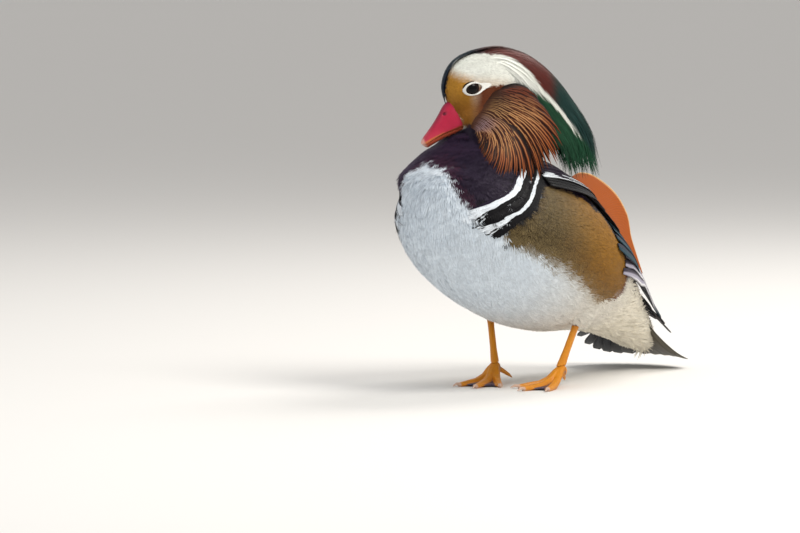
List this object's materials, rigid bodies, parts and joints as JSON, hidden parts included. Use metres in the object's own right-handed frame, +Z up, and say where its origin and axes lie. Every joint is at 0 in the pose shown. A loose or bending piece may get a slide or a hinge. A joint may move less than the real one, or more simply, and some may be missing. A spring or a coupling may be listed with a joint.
{
  "type": "mandarin duck model",
  "caption": "Life-size mandarin drake standing at rest, head turned and bill tucked low, with crest, ruff, folded wings, upright sail feathers and fanned tail.",
  "frame": {"origin": "centre of the base of the whole bird's box, on the floor between its feet", "axes": "+Z up, -Y towards the bird's front, +X towards the bird's left"},
  "size_m": [0.1152, 0.2751, 0.2163],
  "materials": {
    "breast_and_belly": "soft matt plumage",
    "maroon_neck": "soft plumage with a purple sheen",
    "pale_face": "soft matt plumage",
    "green_crest": "plumage with a green sheen",
    "rufous_plumes": "soft matt plumage",
    "dark_wing": "smooth flight feathers",
    "orange_sail": "smooth feather",
    "brown_tail": "smooth feathers",
    "red_bill": "satin horn",
    "dark_eye": "wet gloss",
    "yellow_leg": "scaled skin, satin"
  },
  "bodies": {
    "root": {"torso": "breast_and_belly", "neck": "maroon_neck", "head": "pale_face", "crest": "green_crest", "ruff_left": "rufous_plumes", "ruff_right": "rufous_plumes", "wing_left": "dark_wing", "wing_right": "dark_wing", "sail_left": "orange_sail", "sail_right": "orange_sail", "tail": "brown_tail", "bill_upper": "red_bill", "bill_lower": "red_bill", "eye_left": "dark_eye", "eye_right": "dark_eye", "shank_left": "yellow_leg", "shank_right": "yellow_leg", "foot_left": "yellow_leg", "foot_right": "yellow_leg"}
  },
  "joints": []
}
